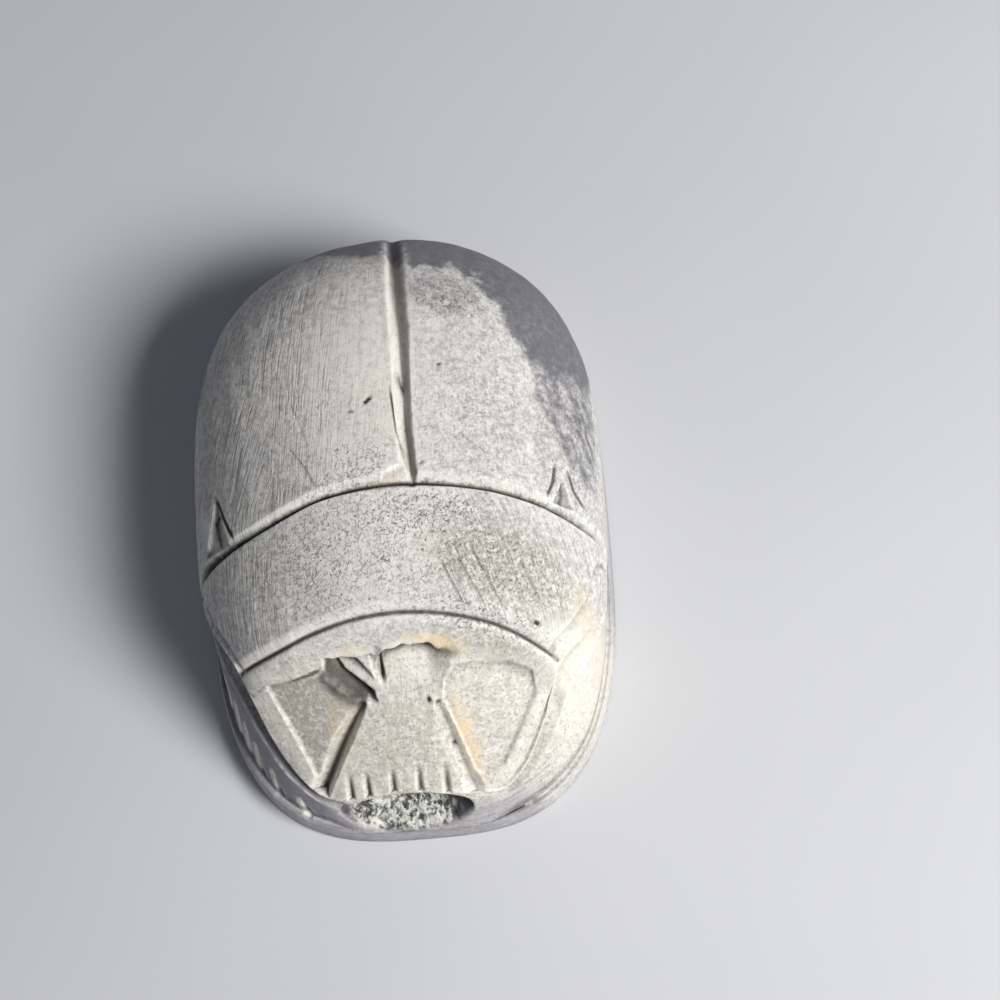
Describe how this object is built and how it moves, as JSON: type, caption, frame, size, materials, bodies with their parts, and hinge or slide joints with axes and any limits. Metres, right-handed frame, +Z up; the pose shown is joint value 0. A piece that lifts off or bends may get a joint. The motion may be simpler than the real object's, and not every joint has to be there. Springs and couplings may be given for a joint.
{
  "type": "carved stone scarab amulet",
  "caption": "Beetle-shaped amulet carved in one piece of pale stone with a low oval plinth, domed back, incised wing cases and head, legs in relief, flat underside.",
  "frame": {"origin": "middle of the flat underside, on the surface the scarab rests on", "axes": "+Z up, through the back; -Y towards the head; +X to the right as seen from above with the head towards the viewer"},
  "size_m": [0.0402, 0.06, 0.0235],
  "materials": {
    "stone": "pale cream-grey carved stone, worn satin surface with file marks, fine dark crackle and grey staining"
  },
  "bodies": {
    "root": {"scarab": "stone"}
  },
  "joints": []
}
